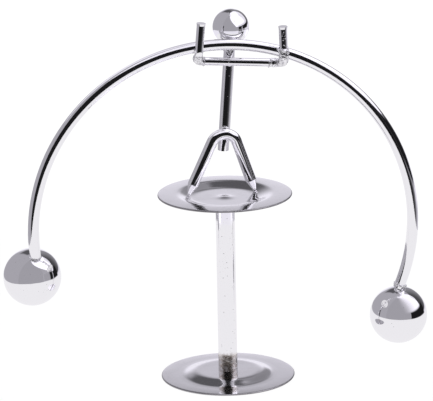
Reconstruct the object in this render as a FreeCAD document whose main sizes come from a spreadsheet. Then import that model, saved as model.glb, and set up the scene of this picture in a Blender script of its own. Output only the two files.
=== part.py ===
import FreeCAD, Part

import itertools
import math
import os

import Sketcher

# Balancing figure: a wire weightlifter stands on a dished plate on a pole and carries a bowed bar with
# a solid ball at each end. Millimetres, +Z up, origin at the centre of the base's footprint.
#
# Three frames place everything:
#   stand   the world: both plates and the pole are turned about its Z axis
#   figure  origin midway between the foot points, X along the barbell, Y to the figure's back, Z up its body
#   stance  the same origin and lean, with X along the line through the two foot points
# The foot points lie on the stance X axis, which is the line that the figure rocks about.

V = FreeCAD.Vector
Rot = FreeCAD.Rotation
Place = FreeCAD.Placement
X_AXIS = V(1, 0, 0)
Y_AXIS = V(0, 1, 0)
Z_AXIS = V(0, 0, 1)

DIMENSIONS = (
    # stand
    ("plate_radius", 24.0),
    ("sheet_gauge", 0.65),
    ("dish_depth", 1.5),
    ("floor_radius", 12.2),
    ("wall_radius", 16.2),
    ("press_bend", 2.4),
    ("deck_height", 68.0),
    ("pole_radius", 3.4),
    ("spigot_radius", 1.5),
    ("rivet_radius", 2.8),
    ("rivet_rise", 0.3),
    # how the figure stands on the deck
    ("foot_spread", 24.0),
    ("foot_setback", 4.5),
    ("stance_yaw", 14.2),
    ("figure_yaw", 5.3),
    ("figure_lean", 3.0),
    ("foot_clearance", 0.05),
    # stock and joints
    ("rod_radius", 2.0),
    ("wire_radius", 1.5),
    ("weld_press", 0.15),
    # legs, in the stance frame
    ("foot_tip_radius", 0.75),
    ("foot_taper", 3.7),
    ("apex_shift", 1.55),
    ("apex_rise", 29.3),
    ("crotch_bend", 4.9),
    # spine and head, in the figure frame
    ("spine_shift", 1.15),
    ("spine_start", 14.1),
    ("spine_tilt", 4.1),
    ("spine_length", 40.0),
    ("head_radius", 6.5),
    ("head_seat", 1.0),
    # arms, in the figure frame
    ("arm_bend", 3.0),
    ("hand_flare", 0.15),
    ("hand_flare_length", 0.8),
    ("left_elbow_shift", -8.0),
    ("left_elbow_rise", 48.4),
    ("left_wrist_rise", 52.8),
    ("left_hand_shift", -7.0),
    ("left_hand_rise", 64.2),
    ("right_elbow_shift", 22.0),
    ("right_elbow_rise", 46.5),
    ("right_wrist_rise", 49.6),
    ("right_hand_shift", 21.7),
    ("right_hand_rise", 61.9),
    # barbell, in the figure frame
    ("barbell_radius", 68.0),
    ("barbell_span", 209.8),
    ("barbell_roll", 7.7),
    ("barbell_shift", 0.35),
    ("barbell_drop", 12.8),
    ("barbell_reach", 7.3),
    ("rod_chamfer", 0.5),
    # balls, hung from the barbell's ends
    ("ball_radius", 10.4),
    ("ball_seat", 0.4),
    ("left_ball_splay", 8.4),
    ("left_ball_back", 30.1),
    ("right_ball_splay", -1.2),
    ("right_ball_back", 1.3),
    # weld beads
    ("bead_radius", 2.2),
    ("crotch_bead_rise", 0.5),
)

doc = FreeCAD.newDocument("BalancingFigure")
sheet = doc.addObject("Spreadsheet::Sheet", "Dimensions")
for row, (alias, number) in enumerate(DIMENSIONS, start=1):
    sheet.set("A%d" % row, alias)
    sheet.set("B%d" % row, str(number))
    sheet.setAlias("B%d" % row, alias)
doc.recompute()


class Size:
    """A length or angle from the sheet: its number, and the expression that binds a property to it."""

    def __init__(self, text, number):
        self.text = text
        self.number = number

    def __add__(self, other):
        return Size("%s + %s" % (self.text, other.text), self.number + other.number)

    def __sub__(self, other):
        return Size("%s - (%s)" % (self.text, other.text), self.number - other.number)

    def __float__(self):
        return self.number


def cell(alias):
    return Size("Dimensions." + alias, float(sheet.get(alias)))


def value(alias):
    return float(sheet.get(alias))


def bind(obj, **sizes):
    for name, amount in sizes.items():
        obj.setExpression(name, amount.text)


plate_radius = cell("plate_radius")
gauge = cell("sheet_gauge")
dish_depth = cell("dish_depth")
floor_radius = cell("floor_radius")
wall_radius = cell("wall_radius")
press_bend = cell("press_bend")
deck_height = cell("deck_height")
deck_underside = deck_height - dish_depth - gauge
pole_radius = cell("pole_radius")
spigot_radius = cell("spigot_radius")
rivet_radius = cell("rivet_radius")
rivet_rise = cell("rivet_rise")
rod_radius = cell("rod_radius")
wire_radius = cell("wire_radius")
tip_radius = cell("foot_tip_radius")


# ---------------------------------------------------------------- building blocks

def origin_plane(body, role):
    return next(item for item in body.Origin.OriginFeatures if item.Role == role)


def sketch_on(body, name, role):
    sketch = body.newObject("Sketcher::SketchObject", name)
    sketch.AttachmentSupport = [(origin_plane(body, role), "")]
    sketch.MapMode = "FlatFace"
    return sketch


def constrain(sketch, kind, geometry, amount):
    slot = sketch.addConstraint(Sketcher.Constraint(kind, -1, 1, geometry, 1, amount.number))
    sketch.setExpression("Constraints[%d]" % slot, amount.text)


def draw_polygon(sketch, corners):
    """Close a polygon. A corner is (distance from the axis, height), and None puts it on the axis."""
    count = len(corners)
    spots = [V(float(across or 0), float(up), 0) for across, up in corners]
    for index in range(count):
        sketch.addGeometry(Part.LineSegment(spots[index], spots[(index + 1) % count]), False)
    for index in range(count):
        sketch.addConstraint(Sketcher.Constraint("Coincident", index, 2, (index + 1) % count, 1))
    for index, (across, up) in enumerate(corners):
        if across is None:
            sketch.addConstraint(Sketcher.Constraint("PointOnObject", index, 1, -2))
        else:
            constrain(sketch, "DistanceX", index, across)
        constrain(sketch, "DistanceY", index, up)


def turned_body(label, corners):
    """A body of revolution about its Z axis from one closed half profile."""
    body = doc.addObject("PartDesign::Body", label)
    body.Label = label
    sketch = sketch_on(body, label + "_profile", "XZ_Plane")
    draw_polygon(sketch, corners)
    turn = body.newObject("PartDesign::Revolution", label + "_turn")
    turn.Profile = sketch
    turn.ReferenceAxis = (sketch, ["V_Axis"])
    turn.Angle = 360.0
    doc.recompute()
    return body, turn


def circle_edges(shape, radius, level=None):
    """Names of the shape's full circles of a radius, at a height if one is given."""
    names = []
    for index, edge in enumerate(shape.Edges, start=1):
        if not isinstance(edge.Curve, Part.Circle) or abs(edge.Curve.Radius - float(radius)) > 1e-4:
            continue
        if level is None or abs(edge.Curve.Center.z - float(level)) < 1e-4:
            names.append("Edge%d" % index)
    return names


def cylinder(label, radius, start, direction, length):
    rod = doc.addObject("Part::Cylinder", label)
    bind(rod, Radius=radius)
    rod.Height = length
    rod.Placement = Place(start, Rot(Z_AXIS, direction))
    return rod


def ball(label, radius, centre):
    sphere = doc.addObject("Part::Sphere", label)
    bind(sphere, Radius=radius)
    sphere.Placement = Place(centre, Rot())
    return sphere


def fuse(label, pieces):
    joined = doc.addObject("Part::MultiFuse", label)
    joined.Shapes = pieces
    joined.Refine = True
    return joined


def cut(label, base, tool):
    remainder = doc.addObject("Part::Cut", label)
    remainder.Base = base
    remainder.Tool = tool
    return remainder


def cut_all(label, base, tools):
    """Take each tool out of the base in turn, so that the piece meets its neighbours face to face."""
    for index, tool in enumerate(tools, start=1):
        last = index == len(tools)
        base = cut(label if last else "%s_seat_%d" % (label, index), base, tool)
    return base


def bent_rod(label, radius, corners, bend):
    """Straight runs and tangent bends of one radius through a list of corner points."""
    pieces = []
    start = corners[0]
    for index in range(1, len(corners)):
        corner = corners[index]
        heading = (corner - corners[index - 1]).normalize()
        run = "%s_run_%d" % (label, index)
        if index == len(corners) - 1:
            pieces.append(cylinder(run, radius, start, heading, (corner - start).Length))
            break
        leaving = (corners[index + 1] - corner).normalize()
        turn = heading.getAngle(leaving)
        tangent = float(bend) * math.tan(turn / 2)
        run_end = corner - heading * tangent
        pieces.append(cylinder(run, radius, start, heading, (run_end - start).Length))
        axis = heading.cross(leaving).normalize()
        inward = axis.cross(heading).normalize()
        elbow = doc.addObject("Part::Torus", "%s_bend_%d" % (label, index))
        bind(elbow, Radius1=bend, Radius2=radius)
        elbow.Angle3 = math.degrees(turn)
        elbow.Placement = Place(run_end + inward * float(bend), Rot(-inward, heading, axis, "ZXY"))
        pieces.append(elbow)
        start = corner + leaving * tangent
    return pieces


# ---------------------------------------------------------------- stand

def pressed_plate(label, floor_low, rim_low, dish_up):
    """One stamping: flat rim, sloping wall, flat middle with a hole for the pole's spigot."""
    corners = (
        (spigot_radius, floor_low),
        (floor_radius, floor_low),
        (wall_radius, rim_low),
        (plate_radius, rim_low),
        (plate_radius, rim_low + gauge),
        (wall_radius, rim_low + gauge),
        (floor_radius, floor_low + gauge),
        (spigot_radius, floor_low + gauge),
    )
    body, turn = turned_body(label, corners)
    low_inside = (wall_radius, rim_low) if dish_up else (floor_radius, floor_low)
    low_outside = (floor_radius, floor_low) if dish_up else (wall_radius, rim_low)
    high_inside = (floor_radius, floor_low + gauge) if dish_up else (wall_radius, rim_low + gauge)
    high_outside = (wall_radius, rim_low + gauge) if dish_up else (floor_radius, floor_low + gauge)
    rounds = (
        ("inside", press_bend, (low_inside, high_inside)),
        ("outside", press_bend + gauge, (low_outside, high_outside)),
    )
    base = turn
    for side, radius, corners_to_round in rounds:
        names = []
        for across, level in corners_to_round:
            names += circle_edges(base.Shape, across, level)
        blend = body.newObject("PartDesign::Fillet", "%s_%s_bend" % (label, side))
        blend.Base = (base, names)
        bind(blend, Radius=radius)
        doc.recompute()
        base = blend
    body.Tip = base
    return body


def riveted_pole():
    """The rod between the plates: a spigot at each end goes through a plate and is peened over."""
    foot = dish_depth + gauge
    head = deck_underside + gauge
    rivet_flat = rivet_radius - rivet_rise
    corners = (
        (None, dish_depth - rivet_rise),
        (rivet_flat, dish_depth - rivet_rise),
        (rivet_radius, dish_depth),
        (spigot_radius, dish_depth),
        (spigot_radius, foot),
        (pole_radius, foot),
        (pole_radius, deck_underside),
        (spigot_radius, deck_underside),
        (spigot_radius, head),
        (rivet_radius, head),
        (rivet_flat, head + rivet_rise),
        (None, head + rivet_rise),
    )
    body, _ = turned_body("pole", corners)
    return body


ground = Size("0", 0.0)
base_plate = pressed_plate("base_plate", dish_depth, ground, dish_up=False)
top_plate = pressed_plate("top_plate", deck_underside, deck_height - gauge, dish_up=True)
pole = riveted_pole()


# ---------------------------------------------------------------- frames of the figure

wall_slope = math.atan2(value("dish_depth"), value("wall_radius") - value("floor_radius"))
foot_half = value("foot_spread") / 2
foot_reach = math.hypot(foot_half, value("foot_setback"))
dish_floor = value("deck_height") - value("dish_depth")
deck_at_foot = dish_floor + (foot_reach - value("floor_radius")) * math.tan(wall_slope)
hinge_height = deck_at_foot + (value("foot_tip_radius") + value("foot_clearance")) / math.cos(wall_slope)

stance_turn = Rot(Z_AXIS, value("stance_yaw"))
foot_middle = stance_turn.multVec(V(0, value("foot_setback"), 0)) + V(0, 0, hinge_height)
lean = Rot(X_AXIS, value("figure_lean"))
stance = Place(foot_middle, stance_turn * lean)
figure = Place(foot_middle, Rot(Z_AXIS, value("figure_yaw")) * lean)


# ---------------------------------------------------------------- spine and head

# The spine passes behind the crotch, pressed into it by the weld, so its setback follows from the legs.
spine_lean = math.tan(math.radians(value("spine_tilt")))
crotch_angle = math.atan2(value("apex_shift") + foot_half, value("apex_rise"))
crotch_angle += math.atan2(foot_half - value("apex_shift"), value("apex_rise"))
crotch_rise = value("apex_rise") - value("crotch_bend") * (1 / math.sin(crotch_angle / 2) - 1)
spine_at_crotch = value("spine_shift") + (crotch_rise - value("spine_start")) * spine_lean
twist = math.radians(value("stance_yaw") - value("figure_yaw"))
crotch_gap = 2 * value("rod_radius") - value("weld_press")
spine_back = (crotch_gap + spine_at_crotch * math.sin(twist)) / math.cos(twist)

spine_foot = V(value("spine_shift"), spine_back, value("spine_start"))
spine_heading = V(spine_lean, 0, 1).normalize()


def on_spine(rise):
    """The point of the spine's axis at a height in the figure frame."""
    return V(value("spine_shift") + (rise - value("spine_start")) * spine_lean, spine_back, rise)


head_centre = spine_foot + spine_heading * (value("spine_length") + value("head_radius") - value("head_seat"))

spine_start = figure.multVec(spine_foot)
spine_up = figure.Rotation.multVec(spine_heading)
spine_rod = cylinder("spine_rod", rod_radius, spine_start, spine_up, value("spine_length"))
bind(spine_rod, Height=cell("spine_length"))
head_sphere = ball("head_sphere", cell("head_radius"), figure.multVec(head_centre))


# ---------------------------------------------------------------- legs

def foot_point(label, tip, heading):
    """A tapered end with a small ball-shaped point, centred on the line that the figure rocks about."""
    cone = doc.addObject("Part::Cone", label + "_taper")
    bind(cone, Radius1=tip_radius, Radius2=rod_radius, Height=cell("foot_taper"))
    cone.Placement = Place(tip, Rot(Z_AXIS, heading))
    return [cone, ball(label + "_point", tip_radius, tip)]


left_foot = V(-foot_half, 0, 0)
right_foot = V(foot_half, 0, 0)
apex = V(value("apex_shift"), 0, value("apex_rise"))
leg_corners = [
    left_foot + (apex - left_foot).normalize() * value("foot_taper"),
    apex,
    right_foot + (apex - right_foot).normalize() * value("foot_taper"),
]
leg_pieces = bent_rod("legs", rod_radius, [stance.multVec(spot) for spot in leg_corners], cell("crotch_bend"))
for side, foot in (("left", left_foot), ("right", right_foot)):
    heading = stance.Rotation.multVec((apex - foot).normalize())
    leg_pieces += foot_point(side + "_foot", stance.multVec(foot), heading)
legs_whole = fuse("legs_whole", leg_pieces)


# ---------------------------------------------------------------- barbell

barbell_back = spine_back - value("barbell_reach")
barbell_centre = V(value("barbell_shift"), barbell_back, -value("barbell_drop"))
left_end_angle = 90 - value("barbell_roll") + value("barbell_span") / 2
right_end_angle = left_end_angle - value("barbell_span")


def on_barbell(angle):
    """The point of the barbell's centreline at an angle above the figure's X axis."""
    reach = V(math.cos(math.radians(angle)), 0, math.sin(math.radians(angle)))
    return barbell_centre + reach * value("barbell_radius")


def barbell_rise(shift):
    """The height of the barbell's centreline above a place along the figure's X axis."""
    across = shift - value("barbell_shift")
    return barbell_centre.z + math.sqrt(value("barbell_radius") ** 2 - across ** 2)


def bowed_rod():
    body = doc.addObject("PartDesign::Body", "barbell_rod")
    section = sketch_on(body, "barbell_section", "XY_Plane")
    section.addGeometry(Part.Circle(V(value("barbell_radius"), 0, 0), Z_AXIS, value("rod_radius")), False)
    section.addConstraint(Sketcher.Constraint("PointOnObject", 0, 3, -1))
    slot = section.addConstraint(Sketcher.Constraint("DistanceX", -1, 1, 0, 3, value("barbell_radius")))
    section.setExpression("Constraints[%d]" % slot, cell("barbell_radius").text)
    slot = section.addConstraint(Sketcher.Constraint("Radius", 0, value("rod_radius")))
    section.setExpression("Constraints[%d]" % slot, rod_radius.text)
    sweep = body.newObject("PartDesign::Revolution", "barbell_bow")
    sweep.Profile = section
    sweep.ReferenceAxis = (section, ["V_Axis"])
    bind(sweep, Angle=cell("barbell_span"))
    doc.recompute()
    ends = body.newObject("PartDesign::Chamfer", "barbell_ends")
    ends.Base = (sweep, circle_edges(sweep.Shape, rod_radius))
    bind(ends, Size=cell("rod_chamfer"))
    body.Tip = ends
    body.Placement = figure * Place(barbell_centre, Rot(Y_AXIS, -left_end_angle))
    doc.recompute()
    return body


barbell_rod = bowed_rod()


def hung_ball(label, end_angle, splay, back):
    """A ball whose centre hangs from a rod end, splayed outward to the left and set back by two angles."""
    splay = math.radians(value(splay))
    back = math.radians(value(back))
    hang = V(-math.sin(splay) * math.cos(back), math.sin(back), -math.cos(splay) * math.cos(back))
    centre = on_barbell(end_angle) + hang * (value("ball_radius") - value("ball_seat"))
    return ball(label, cell("ball_radius"), figure.multVec(centre))


left_sphere = hung_ball("left_sphere", left_end_angle, "left_ball_splay", "left_ball_back")
right_sphere = hung_ball("right_sphere", right_end_angle, "right_ball_splay", "right_ball_back")


# ---------------------------------------------------------------- arms

# The bar lies on the front of the spine. Each end turns forward under the barbell and then up in front
# of it, so that the barbell rests in the two hands.
wire_gap = value("rod_radius") + value("wire_radius") - value("weld_press")
bar_back = spine_back - wire_gap
hand_back = barbell_back - wire_gap


def arm_corners(side):
    """Hand, wrist and elbow of one arm, from its free end to the bar."""
    elbow_shift = value(side + "_elbow_shift")
    return [
        V(value(side + "_hand_shift"), hand_back, value(side + "_hand_rise")),
        V(elbow_shift, hand_back, value(side + "_wrist_rise")),
        V(elbow_shift, bar_back, value(side + "_elbow_rise")),
    ]


def flared_end(label, tip, outward):
    """The free end of the wire, spread a little where it was cropped."""
    cone = doc.addObject("Part::Cone", label)
    bind(cone, Radius1=wire_radius, Radius2=wire_radius + cell("hand_flare"))
    bind(cone, Height=cell("hand_flare_length"))
    cone.Placement = Place(tip - outward * value("hand_flare_length"), Rot(Z_AXIS, outward))
    return cone


wire_corners = arm_corners("left") + arm_corners("right")[::-1]
wire_pieces = bent_rod("arms", wire_radius, [figure.multVec(spot) for spot in wire_corners], cell("arm_bend"))
for side in ("left", "right"):
    tip, wrist, _ = [figure.multVec(spot) for spot in arm_corners(side)]
    wire_pieces.append(flared_end(side + "_hand_flare", tip, (tip - wrist).normalize()))
arms_whole = fuse("arms_whole", wire_pieces)


# ---------------------------------------------------------------- pieces seated on one another

# Welding presses the pieces slightly together, so the later piece has a seat cut by the earlier one.
leg_frame = cut_all("leg_frame", legs_whole, [spine_rod])
arm_frame = cut_all("arm_frame", arms_whole, [spine_rod, barbell_rod])
head_ball = cut_all("head_ball", head_sphere, [spine_rod])
left_ball = cut_all("left_ball", left_sphere, [barbell_rod])
right_ball = cut_all("right_ball", right_sphere, [barbell_rod])


# ---------------------------------------------------------------- weld beads

BEAD_SHARE = 0.5  # each neighbour fills a good part of a bead, so less than this share of it is left
beads = []


def bead(label, radius, centre, neighbours):
    """A blob of weld metal round a joint, cut back by the pieces that it joins."""
    blob = ball(label + "_blob", radius, figure.multVec(centre))
    metal = cut_all(label, blob, neighbours)
    beads.append((metal, blob))
    return metal


def hand_bead(side):
    shift = value(side + "_elbow_shift")
    crossing = V(shift, barbell_back - value("rod_radius"), barbell_rise(shift))
    return bead(side + "_hand_bead", cell("bead_radius"), crossing, [barbell_rod, arm_frame])


bar_slope = value("right_elbow_rise") - value("left_elbow_rise")
bar_slope /= value("right_elbow_shift") - value("left_elbow_shift")
bar_at_spine = value("left_elbow_rise") + (value("spine_shift") - value("left_elbow_shift")) * bar_slope
bar_contact = on_spine(bar_at_spine) - V(0, value("rod_radius"), 0)
crotch_contact = on_spine(crotch_rise + value("crotch_bead_rise")) - V(0, value("rod_radius"), 0)

hand_welds = doc.addObject("Part::Compound", "hand_welds")
hand_welds.Links = [hand_bead("left"), hand_bead("right")]
spine_welds = doc.addObject("Part::Compound", "spine_welds")
spine_welds.Links = [
    bead("shoulder_bead", cell("bead_radius"), bar_contact, [spine_rod, arm_frame]),
    bead("crotch_bead", cell("bead_radius"), crotch_contact, [spine_rod, leg_frame]),
]


# ---------------------------------------------------------------- checks and files

SHARED_LIMIT = 0.001
PIECES = (
    base_plate,
    pole,
    top_plate,
    leg_frame,
    spine_rod,
    head_ball,
    arm_frame,
    barbell_rod,
    left_ball,
    right_ball,
    hand_welds,
    spine_welds,
)

doc.recompute()
for item in doc.Objects:
    if "Invalid" in item.State or "Error" in item.State:
        raise RuntimeError("%s failed: %s" % (item.Name, item.State))

for piece in PIECES:
    if piece.Shape.isNull() or not piece.Shape.isValid() or not piece.Shape.Solids:
        raise RuntimeError("%s has no valid solid" % piece.Label)

for metal, blob in beads:
    if metal.Shape.Volume > BEAD_SHARE * blob.Shape.Volume:
        raise RuntimeError("%s isn't cut back by its neighbours" % metal.Name)

# Pieces may touch but not share metal. The limit is a tenth of a millimetre, cubed.
solids = [(piece.Label, solid) for piece in PIECES for solid in piece.Shape.Solids]
for (first, one), (second, other) in itertools.combinations(solids, 2):
    if one.BoundBox.intersect(other.BoundBox):
        shared = one.common(other).Volume
        if shared > SHARED_LIMIT:
            raise RuntimeError("%s and %s share %.4f mm3" % (first, second, shared))

os.makedirs("parts", exist_ok=True)
for piece in PIECES:
    piece.Shape.exportStep(os.path.join("parts", piece.Label + ".step"))
    print("%-12s solids %d  volume %9.2f mm3" % (piece.Label, len(piece.Shape.Solids), piece.Shape.Volume))
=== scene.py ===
import math
import random

import bmesh
import bpy
from mathutils import Matrix, Vector, noise


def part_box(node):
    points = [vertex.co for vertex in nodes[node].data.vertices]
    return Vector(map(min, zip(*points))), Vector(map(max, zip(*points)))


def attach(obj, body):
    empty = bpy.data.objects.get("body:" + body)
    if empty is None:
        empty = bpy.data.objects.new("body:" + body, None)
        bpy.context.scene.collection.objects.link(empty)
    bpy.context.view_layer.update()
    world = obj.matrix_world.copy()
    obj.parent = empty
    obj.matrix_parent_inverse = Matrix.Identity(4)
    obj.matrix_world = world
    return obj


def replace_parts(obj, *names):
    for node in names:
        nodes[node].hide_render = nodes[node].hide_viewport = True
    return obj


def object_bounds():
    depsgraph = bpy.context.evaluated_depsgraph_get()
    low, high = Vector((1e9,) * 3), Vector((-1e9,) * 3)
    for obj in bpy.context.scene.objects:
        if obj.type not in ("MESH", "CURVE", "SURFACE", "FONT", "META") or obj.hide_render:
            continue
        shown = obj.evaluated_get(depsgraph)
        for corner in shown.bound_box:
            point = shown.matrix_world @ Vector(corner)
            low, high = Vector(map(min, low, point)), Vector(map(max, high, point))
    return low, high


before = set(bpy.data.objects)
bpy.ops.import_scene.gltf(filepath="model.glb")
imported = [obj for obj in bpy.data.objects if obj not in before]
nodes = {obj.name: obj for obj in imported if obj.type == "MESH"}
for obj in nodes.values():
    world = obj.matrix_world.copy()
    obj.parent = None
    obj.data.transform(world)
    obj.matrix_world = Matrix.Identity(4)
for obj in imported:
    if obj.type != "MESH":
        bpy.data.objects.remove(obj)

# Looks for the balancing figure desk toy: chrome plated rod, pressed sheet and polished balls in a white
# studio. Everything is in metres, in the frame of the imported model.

cad_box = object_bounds()
MM = 0.001

# ---------------------------------------------------------------- shader helpers


def add(tree, kind, inputs=(), **settings):
    """A new node with its settings, and with each input set to a number or joined to a socket."""
    node = tree.nodes.new(kind)
    for name, value in settings.items():
        setattr(node, name, value)
    for key, value in dict(inputs).items():
        if isinstance(value, bpy.types.NodeSocket):
            tree.links.new(value, node.inputs[key])
        else:
            node.inputs[key].default_value = value
    return node


def calc(tree, operation, *terms):
    return add(tree, "ShaderNodeMath", enumerate(terms), operation=operation).outputs[0]


def ramp(tree, value, start, end, low=0.0, high=1.0):
    """Goes smoothly from low to high while value goes from start to end."""
    inputs = {"Value": value, "From Min": start, "From Max": end, "To Min": low, "To Max": high}
    return add(tree, "ShaderNodeMapRange", inputs, interpolation_type="SMOOTHSTEP").outputs["Result"]


def blend(tree, share, first, second):
    """first where share is 0, second where it is 1."""
    return calc(tree, "MULTIPLY_ADD", share, calc(tree, "SUBTRACT", second, first), first)


def empty_material(name):
    material = bpy.data.materials.new(name)
    material.use_nodes = True
    material.node_tree.nodes.clear()
    return material, material.node_tree


# ---------------------------------------------------------------- chrome finishes

# Bump heights and sizes of detail are in millimetres.


def speckle(tree, place, size, detail=3.0, stretch=(1, 1, 1)):
    """Noise from 0 to 1 with features of about the given size, drawn out where stretch is above 1."""
    scale = [1 / factor for factor in stretch]
    shifted = add(tree, "ShaderNodeMapping", {"Vector": place, "Scale": scale}).outputs["Vector"]
    inputs = {"Vector": shifted, "Scale": 1 / (size * MM), "Detail": detail}
    return add(tree, "ShaderNodeTexNoise", inputs).outputs["Fac"]


def dots(tree, place, size, share):
    """1 at scattered round spots, 0 between them. share is the part of a cell that a spot fills."""
    inputs = {"Vector": place, "Scale": 1 / (size * MM), "Randomness": 1.0}
    distance = add(tree, "ShaderNodeTexVoronoi", inputs).outputs["Distance"]
    return ramp(tree, distance, share, share * 0.4)


def finish_chrome(material, tree, colour, roughness, height, depth):
    """Joins colour, roughness and a bump height to one metal shader. depth is the bump's size in mm."""
    bump = add(tree, "ShaderNodeBump", {"Height": height, "Distance": depth * MM, "Strength": 1.0})
    inputs = {"Base Color": colour, "Metallic": 1.0, "Roughness": roughness, "Normal": bump.outputs["Normal"]}
    shader = add(tree, "ShaderNodeBsdfPrincipled", inputs)
    output = add(tree, "ShaderNodeOutputMaterial")
    tree.links.new(shader.outputs["BSDF"], output.inputs["Surface"])
    return material


def blend_colour(tree, share, clean, dull):
    """The plate's colour, from clean to dull. It lays on real tarnish and pits, and also the pole's painted
    dark reflection.
    """
    inputs = {0: share, 6: clean, 7: dull}
    return add(tree, "ShaderNodeMix", inputs, data_type="RGBA").outputs[2]


CLEAN = (0.905, 0.90, 0.915, 1)
DULL = (0.70, 0.69, 0.69, 1)
BROWNED = (0.62, 0.56, 0.52, 1)
# a painted dark reflection, laid into the pole's colour down its front middle near the base plate
PAINTED_REFLECTION = (0.20, 0.175, 0.155, 1)
PITTED = (0.42, 0.41, 0.42, 1)
SHEARED = (0.40, 0.39, 0.40, 1)
SHEARED_BAND = (23.60 * MM, 23.76 * MM)  # where the sheet's face rolls over into its sheared edge
FOOT_TOP = 8.6 * MM
REFLECTION_MIDDLE = -0.2 * MM  # where the painted dark reflection on the pole's foot is darkest, across the pole


def rod_chrome(name, waviness, pits, streaks):
    """Chrome over drawn rod: faint draw lines along it, slow waviness and a few pits under the plate."""
    material, tree = empty_material(name)
    place = add(tree, "ShaderNodeTexCoord").outputs["Object"]
    slow = speckle(tree, place, 2.4, 2.0)
    fine = speckle(tree, place, 0.25, 4.0, streaks)
    pit = calc(tree, "MULTIPLY", dots(tree, place, 1.1, 0.16), ramp(tree, slow, 0.5, 0.62))
    height = calc(tree, "ADD", calc(tree, "MULTIPLY", slow, waviness), calc(tree, "MULTIPLY", fine, 0.1))
    height = calc(tree, "SUBTRACT", height, calc(tree, "MULTIPLY", pit, pits))
    roughness = calc(tree, "ADD", ramp(tree, fine, 0.35, 0.8, 0.02, 0.07), calc(tree, "MULTIPLY", pit, 0.2))
    colour = blend_colour(tree, calc(tree, "MULTIPLY", pit, 0.8), CLEAN, DULL)
    return finish_chrome(material, tree, colour, roughness, height, 0.012)


def pole_chrome(name):
    """Chrome over the stand's rod: pitted all over, dull and brown near the base plate, with a painted dark
    reflection down its front middle there.
    """
    material, tree = empty_material(name)
    place = add(tree, "ShaderNodeTexCoord").outputs["Object"]
    split = add(tree, "ShaderNodeSeparateXYZ", {"Vector": place}).outputs
    height_up = split["Z"]
    slow = speckle(tree, place, 1.2, 4.0)
    drawn = speckle(tree, place, 0.35, 4.0, (1, 1, 14))
    uneven = calc(tree, "MULTIPLY_ADD", calc(tree, "SUBTRACT", slow, 0.5), 3 * MM, height_up)
    foot = ramp(tree, uneven, FOOT_TOP + 0.8 * MM, FOOT_TOP - 0.8 * MM)
    patchy = calc(tree, "MULTIPLY", foot, ramp(tree, slow, 0.38, 0.62, 0.35, 1.0))
    pit = calc(tree, "MULTIPLY", dots(tree, place, 1.3, 0.17), ramp(tree, slow, 0.46, 0.56))
    height = calc(tree, "ADD", calc(tree, "MULTIPLY", drawn, 0.35), calc(tree, "MULTIPLY", slow, 0.5))
    height = calc(tree, "ADD", height, calc(tree, "MULTIPLY", calc(tree, "MULTIPLY", slow, foot), 9.0))
    height = calc(tree, "SUBTRACT", height, calc(tree, "MULTIPLY", pit, 2.5))
    dulled = calc(tree, "MULTIPLY", patchy, 0.36)
    roughness = calc(tree, "ADD", ramp(tree, drawn, 0.35, 0.8, 0.03, 0.10), dulled)
    colour = blend_colour(tree, calc(tree, "MULTIPLY", pit, 0.8), CLEAN, DULL)
    colour = blend_colour(tree, patchy, colour, BROWNED)
    # Painted dark reflection: a grainy dark streak down the middle of the pole's front, below the foot's top.
    across = calc(tree, "ABSOLUTE", calc(tree, "SUBTRACT", split["X"], REFLECTION_MIDDLE))
    reflection_streak = calc(tree, "MULTIPLY", foot, ramp(tree, across, 2.6 * MM, 1.0 * MM))
    grainy_reflection = calc(tree, "MULTIPLY", reflection_streak, ramp(tree, slow, 0.30, 0.58, 0.55, 1.0))
    colour = blend_colour(tree, grainy_reflection, colour, PAINTED_REFLECTION)
    return finish_chrome(material, tree, colour, roughness, height, 0.012)


def ball_chrome(name):
    """Chrome over a polished ball: close to a mirror, with a little haze and a few pin holes."""
    material, tree = empty_material(name)
    place = add(tree, "ShaderNodeTexCoord").outputs["Object"]
    cloud = speckle(tree, place, 5.0, 3.0)
    grain = speckle(tree, place, 0.15, 2.0)
    pin = calc(tree, "MULTIPLY", dots(tree, place, 1.5, 0.13), ramp(tree, cloud, 0.48, 0.58))
    height = calc(tree, "SUBTRACT", calc(tree, "MULTIPLY", grain, 0.15), pin)
    haze = ramp(tree, cloud, 0.3, 0.75, 0.015, 0.045)
    roughness = calc(tree, "ADD", haze, calc(tree, "MULTIPLY", pin, 0.2))
    colour = blend_colour(tree, calc(tree, "MULTIPLY", pin, 0.8), CLEAN, PITTED)
    return finish_chrome(material, tree, colour, roughness, height, 0.004)


def sheet_chrome(name):
    """Satin chrome over pressed sheet: turning rings, a mottle, fine scratches and a dark sheared edge."""
    material, tree = empty_material(name)
    place = add(tree, "ShaderNodeTexCoord").outputs["Object"]
    rings = add(
        tree,
        "ShaderNodeTexWave",
        {"Vector": place, "Scale": 1 / (1.6 * MM), "Distortion": 1.2, "Detail": 2.0},
        wave_type="RINGS",
        rings_direction="Z",
    ).outputs["Fac"]
    mottle = speckle(tree, place, 1.6, 4.0)
    cloud = speckle(tree, place, 9.0, 3.0)
    scratch = speckle(tree, place, 0.5, 2.0, (14, 1, 1))
    height = calc(tree, "ADD", calc(tree, "MULTIPLY", rings, 0.12), calc(tree, "MULTIPLY", mottle, 0.5))
    height = calc(tree, "ADD", height, calc(tree, "MULTIPLY", scratch, 0.15))
    satin = ramp(tree, cloud, 0.3, 0.7, 0.09, 0.14)
    roughness = calc(tree, "ADD", satin, ramp(tree, mottle, 0.5, 0.8, 0.0, 0.05))
    colour = blend_colour(tree, ramp(tree, cloud, 0.45, 0.75, 0.0, 0.25), CLEAN, DULL)
    flat = add(tree, "ShaderNodeVectorMath", {0: place, 1: (1, 1, 0)}, operation="MULTIPLY").outputs["Vector"]
    out = add(tree, "ShaderNodeVectorMath", {0: flat}, operation="LENGTH").outputs["Value"]
    colour = blend_colour(tree, ramp(tree, out, *SHEARED_BAND), colour, SHEARED)
    return finish_chrome(material, tree, colour, roughness, height, 0.010)


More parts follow.
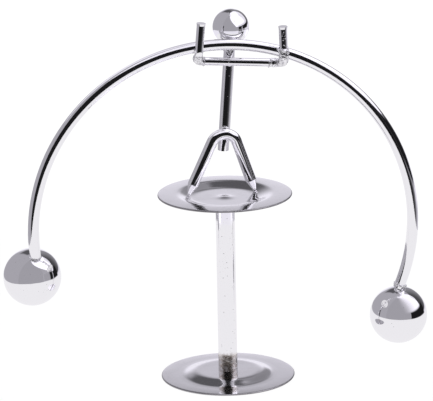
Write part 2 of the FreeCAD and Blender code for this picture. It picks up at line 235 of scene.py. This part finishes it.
def weld_chrome(name):
    """Chrome over rough weld metal: lumpy ripples and open pores."""
    material, tree = empty_material(name)
    place = add(tree, "ShaderNodeTexCoord").outputs["Object"]
    lumps = speckle(tree, place, 0.7, 4.0)
    pore = dots(tree, place, 0.55, 0.3)
    height = calc(tree, "SUBTRACT", calc(tree, "MULTIPLY", lumps, 1.4), pore)
    roughness = calc(tree, "ADD", ramp(tree, lumps, 0.3, 0.7, 0.10, 0.22), calc(tree, "MULTIPLY", pore, 0.3))
    colour = blend_colour(tree, pore, CLEAN, PITTED)
    return finish_chrome(material, tree, colour, roughness, height, 0.12)


figure_rod = rod_chrome("figure_rod", 0.7, 1.0, (1, 1, 16))
cross_rod = rod_chrome("cross_rod", 0.4, 1.0, (16, 1, 1))
stand_rod = pole_chrome("stand_rod")
ball_finish = ball_chrome("polished_ball")
sheet_finish = sheet_chrome("pressed_sheet")
weld_finish = weld_chrome("weld_metal")

CAD_FINISH = {
    "base_plate": (sheet_finish, "pressed_sheet"),
    "top_plate": (sheet_finish, "pressed_sheet"),
    "pole": (stand_rod, "stand_rod"),
    "leg_frame": (figure_rod, "figure_rod"),
    "spine_rod": (figure_rod, "figure_rod"),
    "arm_frame": (figure_rod, "figure_rod"),
    "barbell_rod": (cross_rod, "figure_rod"),
}
for name, (material, slot) in CAD_FINISH.items():
    nodes[name].data.materials.clear()
    nodes[name].data.materials.append(material)


# ---------------------------------------------------------------- mesh helpers


def new_piece(name, mesh_data, material, body="figure"):
    """A smooth shaded object made from a bmesh, in its finish and riding on a body."""
    mesh = bpy.data.meshes.new(name)
    bmesh.ops.recalc_face_normals(mesh_data, faces=mesh_data.faces)
    mesh_data.to_mesh(mesh)
    mesh_data.free()
    mesh.shade_smooth()
    mesh.materials.append(material)
    obj = bpy.data.objects.new(name, mesh)
    bpy.context.scene.collection.objects.link(obj)
    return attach(obj, body)


def node_points(name):
    return [v.co.copy() for v in nodes[name].data.vertices]


def middle(points):
    return sum(points, Vector()) / len(points)


def box_middle(points):
    low = Vector(min(p[i] for p in points) for i in range(3))
    high = Vector(max(p[i] for p in points) for i in range(3))
    return (low + high) / 2


# ---------------------------------------------------------------- plates and pole

PROFILE_STEP = 0.2 * MM
BLEND = 0.95 * MM  # how far the pressing's bends are spread
PLATE_SEGMENTS = 240
LIP_STEPS = 10
HOLE_EDGE = 2.0 * MM  # the profile is level inside this reach, over the pole's spigot
HAIR = 0.01 * MM  # keeps a ray off the mesh's seam, and the plate inside the CAD box
OUTSIDE = 0.5  # a ray's start, well clear of the object
FLANGE_WIDTH = 6.5 * MM
FLANGE_CROWN = 0.13 * MM
CROWN_BLEND = 2.4 * MM
RIVET_RISE = 0.34 * MM
RIVET_SPREAD = 2.3 * MM
RIVET_COVER = 0.05 * MM


def plate_heights(node, way):
    """Heights of a plate's surface along a radius, from above (way -1) or from below (way 1)."""
    low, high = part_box(node)
    count = int(high.x / PROFILE_STEP)
    heights = []
    for i in range(count):
        reach = max(i * PROFILE_STEP, HOLE_EDGE)
        start = Vector((reach, HAIR, -way * OUTSIDE))
        found, place, _, _ = nodes[node].ray_cast(start, Vector((0, 0, way)))
        heights.append(place.z if found else heights[-1])
    return heights


def soften(heights):
    """Spreads the bends of a profile, and keeps its ends where they are."""
    reach = int(3 * BLEND / PROFILE_STEP)
    weights = [math.exp(-0.5 * (k * PROFILE_STEP / BLEND) ** 2) for k in range(-reach, reach + 1)]
    padded = [heights[0]] * reach + heights + [heights[-1]] * reach
    return [sum(w * padded[i + k] for k, w in enumerate(weights)) / sum(weights) for i in range(len(heights))]


def lathe(name, profile, segments, material, body):
    """Turns a closed (reach, height) profile that starts and ends on the axis round it."""
    turned = bmesh.new()
    rings = []
    for reach, height in profile:
        if reach == 0:
            rings.append([turned.verts.new((0, 0, height))] * segments)
            continue
        turns = (math.tau * k / segments for k in range(segments))
        rings.append([turned.verts.new((reach * math.cos(t), reach * math.sin(t), height)) for t in turns])
    for one, two in zip(rings, rings[1:]):
        for k in range(segments):
            corners = [one[k], one[(k + 1) % segments], two[(k + 1) % segments], two[k]]
            turned.faces.new(dict.fromkeys(corners))
    return new_piece(name, turned, material, body)


def crown(reach, edge):
    """How far the flange bulges up at a reach: its edge turns down a little all round."""
    inside = edge - FLANGE_WIDTH
    if reach > inside:
        return FLANGE_CROWN * (1 - ((reach - inside) / FLANGE_WIDTH) ** 2)
    share = max(0.0, 1 - (inside - reach) / CROWN_BLEND)
    return FLANGE_CROWN * share * share * (3 - 2 * share)


def make_plate(node, rivet):
    """A pressed plate with soft bends and a rounded edge, in place of the CAD one."""
    low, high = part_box(node)
    top = soften(plate_heights(node, -1))
    under = soften(plate_heights(node, 1))
    reach = [i * PROFILE_STEP for i in range(len(top))]
    edge = high.x - HAIR
    half = (top[-1] - under[-1]) / 2
    inner = [r for r in reach if r < edge - half - PROFILE_STEP / 2]
    bump = [rivet * math.exp(-((r / RIVET_SPREAD) ** 2)) for r in inner]
    upper = [(r, z + b + crown(r, edge)) for r, z, b in zip(inner, top, bump)]
    lower = [(r, z + crown(r, edge)) for r, z in zip(inner, under)]
    middle_z = (top[-1] + under[-1]) / 2
    turns = [math.pi * k / LIP_STEPS for k in range(LIP_STEPS + 1)]
    lip = [(edge - half + half * math.sin(t), middle_z + half * math.cos(t)) for t in turns]
    profile = upper + lip + lower[::-1]
    plate = lathe(node + "_pressing", profile, PLATE_SEGMENTS, sheet_finish, "stand")
    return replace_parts(plate, node)


def make_pole():
    """The pole, with its top rivet worked flush into the plate's bump."""
    plate_top = plate_heights("top_plate", -1)[0]
    mesh = nodes["pole"].data.copy()
    mesh.name = "pole_plated"
    for vertex in mesh.vertices:
        vertex.co.z = min(vertex.co.z, plate_top - RIVET_COVER)
    pole = bpy.data.objects.new("pole_plated", mesh)
    bpy.context.scene.collection.objects.link(pole)
    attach(pole, "stand")
    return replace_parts(pole, "pole")


pole = make_pole()
plates = [make_plate("base_plate", 0), make_plate("top_plate", RIVET_RISE)]


# ---------------------------------------------------------------- balls

BALL_FINENESS = 6  # subdivisions of the starting icosahedron
BALL_INSET = 0.02 * MM  # keeps the fine ball inside the box of the coarser CAD one
BALL_WAVE = 0.006 * MM  # how far the ball is out of true
DING_WIDTH = 0.5 * MM
DING_DEPTH = 0.03 * MM


def ball_place(node):
    """(centre, radius) of a CAD ball. Its seat for a rod can only shorten the box, never shift its top."""
    low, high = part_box(node)
    radius = max(high - low) / 2
    centre = (low + high) / 2
    if node == "head_ball":
        centre.z = high.z - radius
    return centre, radius


def make_ball(node, seed, dings):
    """A finely meshed polished ball, a hair out of true, with a number of dings from knocks."""
    rng = random.Random(seed)
    centre, radius = ball_place(node)
    radius -= BALL_INSET
    marks = [Vector(rng.gauss(0, 1) for _ in range(3)).normalized() for _ in range(dings)]
    ball = bmesh.new()
    bmesh.ops.create_icosphere(ball, subdivisions=BALL_FINENESS, radius=1)
    for vertex in ball.verts:
        out = vertex.co.normalized()
        sink = BALL_WAVE * abs(noise.noise(out * 3 + Vector((seed, 0, 0))))
        for mark in marks:
            near = (out - mark).length * radius / DING_WIDTH
            if near < 1:
                sink += DING_DEPTH * (1 - near * near) ** 2
        vertex.co = centre + out * (radius - sink)
    obj = new_piece(node + "_polished", ball, ball_finish)
    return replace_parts(obj, node)


balls = [make_ball("head_ball", 3, 0), make_ball("left_ball", 7, 5), make_ball("right_ball", 11, 5)]


# ---------------------------------------------------------------- welds

BLOB_FINENESS = 5


def make_blob(name, lumps, seed):
    """One mesh of several lumps of weld metal. Each lump is (centre, radii, roughness of its outline)."""
    blob = bmesh.new()
    for index, (centre, radii, rough) in enumerate(lumps):
        made = bmesh.ops.create_icosphere(blob, subdivisions=BLOB_FINENESS, radius=1)
        offset = Vector((seed + index * 5.3, seed * 1.7, 0))
        for vertex in made["verts"]:
            out = vertex.co.normalized()
            swell = noise.fractal(out * 1.6 + offset, 0.9, 2.1, 4)
            reach = 1 + rough * (swell - 0.5)
            vertex.co = centre + Vector(out[i] * radii[i] for i in range(3)) * reach
    return new_piece(name, blob, weld_finish)


def halves(name, axis):
    """The points of a node of two solids, split at its middle along an axis."""
    points = node_points(name)
    split = box_middle(points)[axis]
    return [p for p in points if p[axis] < split], [p for p in points if p[axis] > split]


left_hand, right_hand = [box_middle(part) for part in halves("hand_welds", 0)]
crotch, shoulder = [box_middle(part) for part in halves("spine_welds", 2)]

hand_beads = make_blob(
    "hand_beads",
    [
        (left_hand + Vector((0.1, -1.0, -0.6)) * MM, Vector((1.5, 1.4, 1.3)) * MM, 0.25),
        (right_hand + Vector((0.0, -1.3, 1.1)) * MM, Vector((2.1, 2.0, 1.9)) * MM, 0.3),
        (right_hand + Vector((0.0, -1.0, -1.2)) * MM, Vector((1.8, 1.8, 1.4)) * MM, 0.35),
    ],
    2,
)
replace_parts(hand_beads, "hand_welds")
spine_beads = make_blob(
    "spine_beads",
    [
        (crotch + Vector((0, 0, 0.6)) * MM, Vector((1.6, 1.3, 1.1)) * MM, 0.2),
        (shoulder + Vector((0, 0.2, -0.9)) * MM, Vector((1.8, 1.5, 1.3)) * MM, 0.3),
    ],
    9,
)
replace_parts(spine_beads, "spine_welds")


# ---------------------------------------------------------------- collars, ring marks and spatter

RING_STEPS = 72
TUBE_STEPS = 20


def make_ring(name, centre, axis, radius, tube, rough, seed):
    """A lumpy ring of metal round a rod."""
    ring = bmesh.new()
    turn = axis.normalized().to_track_quat("Z", "Y")
    loops = []
    for i in range(RING_STEPS):
        around = math.tau * i / RING_STEPS
        out = Vector((math.cos(around), math.sin(around), 0))
        loop = []
        for j in range(TUBE_STEPS):
            over = math.tau * j / TUBE_STEPS
            way = out * math.cos(over) + Vector((0, 0, math.sin(over)))
            swell = noise.fractal((out * 2 + way) * 1.1 + Vector((seed, 0, 0)), 0.9, 2.1, 4)
            loop.append(ring.verts.new(centre + turn @ (out * radius + way * tube * (1 + rough * swell))))
        loops.append(loop)
    for i in range(RING_STEPS):
        one, two = loops[i], loops[(i + 1) % RING_STEPS]
        for j in range(TUBE_STEPS):
            k = (j + 1) % TUBE_STEPS
            ring.faces.new((one[j], two[j], two[k], one[k]))
    return new_piece(name, ring, weld_finish)


ENTRY_NEAR = 1.0 * MM
ENTRY_FAR = 9.0 * MM


def rod_entry(ball, rod):
    """(centre, direction) of a rod where it leaves a ball's surface."""
    heart, reach = ball_place(ball)
    points = node_points(rod)
    near, far = reach + ENTRY_NEAR, reach + ENTRY_FAR
    inner = middle([p for p in points if (p - heart).length < near])
    outer = middle([p for p in points if near < (p - heart).length < far])
    axis = (outer - inner).normalized()
    along = (heart - inner).dot(axis)
    foot = inner + axis * along
    rise = math.sqrt(max(reach**2 - (heart - foot).length_squared, 0))
    return foot + axis * rise, axis


BAR_RADIUS = 2.0 * MM
WIRE_RADIUS = 1.5 * MM
left_entry, left_axis = rod_entry("left_ball", "barbell_rod")
right_entry, right_axis = rod_entry("right_ball", "barbell_rod")
left_collar = make_ring("left_ball_collar", left_entry, left_axis, BAR_RADIUS, 0.28 * MM, 0.5, 4)
COLLAR_LIFT = 1.3 * MM  # the right collar sits up the rod, clear of the ball
COLLAR_RADIUS = 1.65 * MM
COLLAR_TUBE = 0.64 * MM
collar_place = right_entry + right_axis * COLLAR_LIFT
right_collar = make_ring("right_ball_collar", collar_place, right_axis, COLLAR_RADIUS, COLLAR_TUBE, 0.8, 6)


def hit(node, start, way):
    """(place, normal) where a ray meets a CAD node, or None."""
    found, place, normal, _ = nodes[node].ray_cast(start, way)
    return (place, normal) if found else None


BAR_SEARCH_START = 0.5 * MM
BAR_SEARCH_STEP = 0.1 * MM
BAR_SEARCH_COUNT = 60
FULL_WIDTH = 0.99  # the ray runs through the middle of the wire when it crosses this share of it
BAR_LOOK = (0.3, 0.7)  # shares along the bar between its two bends


def bar_centre(share):
    """A point on the shoulder bar's centreline, at a share of the way from the left elbow to the right."""
    low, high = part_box("arm_frame")
    x = low.x + (high.x - low.x) * share
    for step in range(BAR_SEARCH_COUNT):
        z = low.z + BAR_SEARCH_START + step * BAR_SEARCH_STEP
        near = hit("arm_frame", Vector((x, -OUTSIDE, z)), Vector((0, 1, 0)))
        far = hit("arm_frame", Vector((x, OUTSIDE, z)), Vector((0, -1, 0)))
        if near and far and (far[0] - near[0]).length > FULL_WIDTH * 2 * WIRE_RADIUS:
            return (near[0] + far[0]) / 2
    raise RuntimeError("the shoulder bar isn't where it is looked for")


bar_left, bar_right = [bar_centre(share) for share in BAR_LOOK]
bar_axis = (bar_right - bar_left).normalized()


def bar_at(share):
    start, end = BAR_LOOK
    return bar_left + (bar_right - bar_left) * ((share - start) / (end - start))


RING_MARKS = ((0.80, 0.22), (0.11, 0.22))  # share along the bar, thickness in millimetres
bar_rings = []
for number, (share, tube) in enumerate(RING_MARKS):
    name = "bar_ring_%d" % number
    bar_rings.append(make_ring(name, bar_at(share), bar_axis, WIRE_RADIUS, tube * MM, 0.6, 20 + number))

SLEEVE_VOXEL = 0.14 * MM
SLEEVE_THICKNESS = 0.16 * MM
SLEEVE_RIPPLE = 0.17 * MM
SLEEVE_SINK = 0.12 * MM


def make_sleeves(name, ends, top):
    """Rough weld metal that coats the wire's elbows, from the ring marks round to the hand welds.

    It is a finer copy of the wire, swollen where the metal lies and cut away elsewhere.
    """
    mesh = nodes["arm_frame"].data.copy()
    coarse = bpy.data.objects.new(name + "_source", mesh)
    bpy.context.scene.collection.objects.link(coarse)
    remesh = coarse.modifiers.new("fine", "REMESH")
    remesh.mode = "VOXEL"
    remesh.voxel_size = SLEEVE_VOXEL
    depsgraph = bpy.context.evaluated_depsgraph_get()
    fine = bpy.data.meshes.new_from_object(coarse.evaluated_get(depsgraph))
    bpy.data.objects.remove(coarse)
    sleeve = bmesh.new()
    sleeve.from_mesh(fine)
    bpy.data.meshes.remove(fine)
    sleeve.normal_update()
    bare = []
    moves = []
    for vertex in sleeve.verts:
        place = vertex.co
        past_ring = max(ends[0] - place.x, place.x - ends[1]) / MM
        below_hand = (top - place.z) / MM
        cover = max(0.0, min(1.0, past_ring * 2)) * max(0.0, min(1.0, below_hand * 1.5))
        ripple = noise.fractal(place / (0.9 * MM), 0.8, 2.1, 3)
        swollen = cover * (SLEEVE_THICKNESS + SLEEVE_RIPPLE * ripple)
        moves.append(vertex.normal * (swollen - (1 - cover) * SLEEVE_SINK))
        if cover == 0:
            bare.append(vertex)
    for vertex, move in zip(sleeve.verts, moves):
        vertex.co += move
    bmesh.ops.delete(sleeve, geom=bare, context="VERTS")
    return new_piece(name, sleeve, weld_finish)


SPATTER_THROW = 12 * MM  # droplets land on the front of a rod, from this far before it


def spatter(name, node, places, seed):
    """Small droplets stuck on a rod. Each place is (centre, spread, count, size), sizes in millimetres."""
    rng = random.Random(seed)
    drops = bmesh.new()
    for centre, spread, count, size in places:
        for _ in range(count):
            guess = centre + Vector(rng.gauss(0, 1) * spread[i] for i in range(3)) * MM
            start = guess - Vector((0, SPATTER_THROW, 0))
            found = hit(node, start, Vector((0, 1, 0)))
            if not found:
                continue
            place, normal = found
            radius = size * rng.uniform(0.5, 1.3) * MM
            made = bmesh.ops.create_icosphere(drops, subdivisions=3, radius=1)
            turn = normal.to_track_quat("Z", "Y")
            shift = Vector((rng.uniform(0, 99), 0, 0))
            for vertex in made["verts"]:
                swell = 1 + 0.3 * noise.noise(vertex.co * 1.5 + shift)
                flat = Vector((vertex.co.x, vertex.co.y, vertex.co.z * 0.6)) * swell * radius
                vertex.co = place + turn @ flat
    return new_piece(name, drops, weld_finish)


sleeve_ends = (bar_at(RING_MARKS[1][0]).x, bar_at(RING_MARKS[0][0]).x)
elbow_welds = make_sleeves("elbow_welds", sleeve_ends, min(left_hand.z, right_hand.z) + 0.5 * MM)
bar_spatter = spatter(
    "bar_spatter",
    "arm_frame",
    [
        (bar_at(0.90), (1.0, 0, 0.5), 9, 0.28),
        (bar_at(0.06), (0.8, 0, 0.6), 5, 0.25),
        (bar_at(0.33), (3.0, 0, 0.2), 5, 0.14),
        (right_hand + Vector((0, 0, 5)) * MM, (0.4, 0, 2.5), 14, 0.17),
    ],
    31,
)
spine_spatter = spatter(
    "spine_spatter",
    "spine_rod",
    [
        (shoulder + Vector((0, 0, 3)) * MM, (1.0, 0, 0.8), 26, 0.32),
        (shoulder - Vector((0, 0, 3)) * MM, (1.0, 0, 1.5), 8, 0.15),
    ],
    17,
)

small_pieces = [hand_beads, spine_beads, left_collar, right_collar, bar_spatter, spine_spatter]
small_pieces += bar_rings + [elbow_welds]


# ---------------------------------------------------------------- studio and camera

FLOOR_RADIUS = 0.205
FLOOR_GLOW = 0.93
FLOOR_TINT = (0.985, 0.975, 1.0, 1)
FLOOR_PAPER = (0.3, 0.3, 0.3, 1)
FLOOR_DROP = 0.02 * MM
floor_mesh = bmesh.new()
bmesh.ops.create_circle(floor_mesh, cap_ends=True, segments=180, radius=FLOOR_RADIUS)
floor_data = bpy.data.meshes.new("floor")
floor_mesh.to_mesh(floor_data)
floor_mesh.free()
floor = bpy.data.objects.new("floor", floor_data)
floor.location.z = cad_box[0].z - FLOOR_DROP
bpy.context.scene.collection.objects.link(floor)
material, tree = empty_material("white_floor")
camera_ray = add(tree, "ShaderNodeLightPath").outputs["Is Camera Ray"]
paper = add(tree, "ShaderNodeBsdfDiffuse", {"Color": FLOOR_PAPER})
lamp = add(tree, "ShaderNodeEmission", {"Strength": FLOOR_GLOW})
lit_paper = add(tree, "ShaderNodeAddShader", {0: paper.outputs[0], 1: lamp.outputs[0]})
mirrored = add(tree, "ShaderNodeEmission", {"Color": FLOOR_TINT, "Strength": FLOOR_GLOW})
sources = {0: camera_ray, 1: mirrored.outputs[0], 2: lit_paper.outputs[0]}
floor_shader = add(tree, "ShaderNodeMixShader", sources)
add(tree, "ShaderNodeOutputMaterial", {"Surface": floor_shader.outputs[0]})
floor_data.materials.append(material)

# The room, as light from each direction. Azimuths are in degrees from the front, or from the back, and
# grow towards +X. Rises are above the horizon.

BLACK = 0.012
DIM = 0.10
WALL = 0.42
TABLE_EDGE = 0.85
WHITE = 1.0
PAPER_WHITE = (1.05, 1.05, 1.05, 1)
STUDIO_TINT = (0.98, 0.955, 1.05)

world = bpy.data.worlds.new("studio")
bpy.context.scene.world = world
world.use_nodes = True
tree = world.node_tree
tree.nodes.clear()
direction = add(tree, "ShaderNodeTexCoord").outputs["Generated"]
axes = add(tree, "ShaderNodeSeparateXYZ", {"Vector": direction}).outputs
front = calc(tree, "ARCTAN2", axes["X"], calc(tree, "MULTIPLY", axes["Y"], -1.0))
front = calc(tree, "DEGREES", front)
back = calc(tree, "DEGREES", calc(tree, "ARCTAN2", axes["X"], axes["Y"]))
rise = calc(tree, "DEGREES", calc(tree, "ARCSINE", axes["Z"]))


EDGE = 2.0


def patch(under, around, span, heights, radiance, soft=EDGE):
    """Lays a patch of light over what is there, from span[0] to span[1] round and heights up."""
    share = 1.0
    for value, (low, high) in ((around, span), (rise, heights)):
        share = calc(tree, "MULTIPLY", share, ramp(tree, value, low - soft, low + soft))
        share = calc(tree, "MULTIPLY", share, ramp(tree, value, high + soft, high - soft))
    return blend(tree, share, under, radiance)


FRONT_SPAN = (-54, 50)  # azimuths of the dark side of the room
ROOF = 85  # where the bright patch straight overhead starts
right_side = ramp(tree, front, 48, 140, 0.03, 0.7)
behind_softbox = ramp(tree, front, 125, 170, 0.07, 0.28)
backdrop = ramp(tree, rise, 6, 32, 0.93, 0.2)
light = WALL
# straight overhead, all the way round
light = patch(light, front, (-400, 400), (ROOF, 120), WHITE)
# the dark side of the room, round the camera
light = patch(light, front, FRONT_SPAN, (-120, ROOF), BLACK)
# the lit backdrop, with the dim room above it
light = patch(light, back, (-16, 12), (-30, 40), backdrop, soft=4.0)
light = patch(light, back, (-28, 0), (30, 62), DIM, soft=5.0)
light = patch(light, back, (-14, 14), (44, 70), DIM)
# the table to the right, and its bright far edge
light = patch(light, front, (35, 150), (-120, -10), right_side)
light = patch(light, front, (100, 190), (-14, -3), TABLE_EDGE)
# behind the softbox, and the dark gap under it
light = patch(light, front, (112, 170), (-3, 50), behind_softbox)
light = patch(light, front, (50, 125), (-8, 16), BLACK)
tint = add(tree, "ShaderNodeVectorMath", {0: STUDIO_TINT, "Scale": light}, operation="SCALE")
room = add(tree, "ShaderNodeBackground", {"Color": tint.outputs["Vector"]})
backing = add(tree, "ShaderNodeBackground", {"Color": PAPER_WHITE})
seen = add(tree, "ShaderNodeLightPath").outputs["Is Camera Ray"]
sky = add(tree, "ShaderNodeMixShader", {0: seen, 1: room.outputs[0], 2: backing.outputs[0]})
add(tree, "ShaderNodeOutputWorld", {"Surface": sky.outputs[0]})

PANEL_DISTANCE = 100.0
PANEL_CELLS = 32
SCREEN_GLOW = 0.37
SOFTBOX_GLOW = 0.8
TABLE_GLOW = 0.9
FADE_START = -0.001  # just outside the panel, so that a side with no fade is lit up to its edge


def panel(name, outline, radiance, lit, fade=(0.0, 0.0, 0.0, 0.0)):
    """A curved light panel round the scene that only some pieces reflect. The room shows through it.

    The outline is the panel's bottom and top edges, each a rise and the azimuths where it starts and ends.
    fade is the share of the width or height over which the light comes up at the start, end, bottom and top.
    """
    grid = bmesh.new()
    across = grid.verts.layers.float.new("across")
    upward = grid.verts.layers.float.new("upward")
    rows = []
    for i in range(PANEL_CELLS + 1):
        up, start, end = [low + (high - low) * i / PANEL_CELLS for low, high in zip(*outline)]
        up = math.radians(up)
        row = []
        for j in range(PANEL_CELLS + 1):
            turn = math.radians(start + (end - start) * j / PANEL_CELLS)
            flat = math.cos(up)
            point = Vector((math.sin(turn) * flat, -math.cos(turn) * flat, math.sin(up)))
            vertex = grid.verts.new(point * PANEL_DISTANCE)
            vertex[across] = j / PANEL_CELLS
            vertex[upward] = i / PANEL_CELLS
            row.append(vertex)
        rows.append(row)
    for low, high in zip(rows, rows[1:]):
        for j in range(PANEL_CELLS):
            grid.faces.new((low[j], low[j + 1], high[j + 1], high[j]))
    mesh = bpy.data.meshes.new(name)
    grid.to_mesh(mesh)
    grid.free()
    obj = bpy.data.objects.new(name, mesh)
    bpy.context.scene.collection.objects.link(obj)
    obj.visible_camera = False
    obj.visible_diffuse = False
    obj.visible_shadow = False
    material, tree = empty_material(name)
    strength = radiance
    for layer, (start, end) in (("across", fade[:2]), ("upward", fade[2:])):
        share = add(tree, "ShaderNodeAttribute", attribute_name=layer).outputs["Fac"]
        strength = calc(tree, "MULTIPLY", strength, ramp(tree, share, FADE_START, start))
        strength = calc(tree, "MULTIPLY", strength, ramp(tree, share, 1 - FADE_START, 1 - end))
    clear = add(tree, "ShaderNodeBsdfTransparent")
    glow = add(tree, "ShaderNodeEmission", {"Color": (*STUDIO_TINT, 1), "Strength": strength})
    both = add(tree, "ShaderNodeAddShader", {0: clear.outputs[0], 1: glow.outputs[0]})
    add(tree, "ShaderNodeOutputMaterial", {"Surface": both.outputs[0]})
    mesh.materials.append(material)
    group = bpy.data.collections.new(name + "_lights")
    for piece in lit:
        group.objects.link(piece)
    obj.light_linking.receiver_collection = group


head_polished, left_polished, right_polished = balls
rods = [nodes[name] for name in ("leg_frame", "spine_rod", "arm_frame", "barbell_rod")]
others = rods + plates + [pole] + small_pieces
soft_start, soft_end = FRONT_SPAN[0] - EDGE, FRONT_SPAN[1] + EDGE
edge_share = 2 * EDGE / (soft_end - soft_start)
side_start, side_end = FRONT_SPAN[1] - EDGE, 80 + EDGE
not_plates = [piece for piece in others if piece not in plates]
not_pole = [piece for piece in others if piece is not pole]
screen_fade = (edge_share, edge_share, 0, 0)
side_fade = (0.12, 0.12, 0, 0.11)
right_fade = (0.8, 0, 0.15, 0)
screen_outline = [(-16, soft_start, soft_end), (ROOF, soft_start, soft_end)]
panel("grey_screen", screen_outline, SCREEN_GLOW, balls, screen_fade)
side_outline = [(-20, side_start, side_end), (18, side_start, side_end)]
panel("left_grey", side_outline, SCREEN_GLOW, [left_polished], side_fade)
panel("rod_back", [(22, 110, 250), (ROOF, 110, 250)], 0.5, not_plates)
panel("low_screen", [(-45, -180, 180), (-16, -180, 180)], 0.48, [head_polished])
panel("low_front", [(-45, *FRONT_SPAN), (-16, *FRONT_SPAN)], 0.4, [head_polished])
panel("pole_front", [(-45, -100, 100), (-11, -100, 100)], TABLE_GLOW, [pole])
panel("bar_front", [(-45, -100, 100), (-26, -100, 100)], TABLE_GLOW, [nodes["barbell_rod"]])
panel("plate_front", [(10, *FRONT_SPAN), (24, *FRONT_SPAN)], 0.3, plates)
panel("head_softbox", [(8, 35, 130), (ROOF, -20, 195)], SOFTBOX_GLOW, [head_polished])
panel("left_softbox", [(12, 95, 105), (ROOF, -15, 160)], SOFTBOX_GLOW, [left_polished])
panel("right_softbox", [(12, 25, 105), (ROOF, -15, 150)], SOFTBOX_GLOW, [right_polished], right_fade)
panel("rod_softbox", [(17, 55, 140), (43, 55, 140)], SOFTBOX_GLOW, others)
panel("top_softbox", [(43, -58, 140), (ROOF, -58, 140)], WHITE, not_pole)

CAMERA_RISE = math.radians(15.43)
CAMERA_DISTANCE = 1.285
CAMERA_PIVOT = Vector((0, 0, 0.070))
CAMERA_AIM = Vector((-0.0030, 0, 0.0653))
CAMERA_ROLL = math.radians(-1.1)
CAMERA_LENS = 300.6
camera_data = bpy.data.cameras.new("camera")
camera_data.lens = CAMERA_LENS
camera = bpy.data.objects.new("camera", camera_data)
bpy.context.scene.collection.objects.link(camera)
camera.location = CAMERA_PIVOT + Vector((0, -math.cos(CAMERA_RISE), math.sin(CAMERA_RISE))) * CAMERA_DISTANCE
camera.rotation_mode = "QUATERNION"
look = (CAMERA_AIM - camera.location).to_track_quat("-Z", "Y").to_matrix()
camera.rotation_quaternion = (look @ Matrix.Rotation(CAMERA_ROLL, 3, "Z")).to_quaternion()
bpy.context.scene.camera = camera
bpy.context.scene.view_settings.view_transform = "Standard"
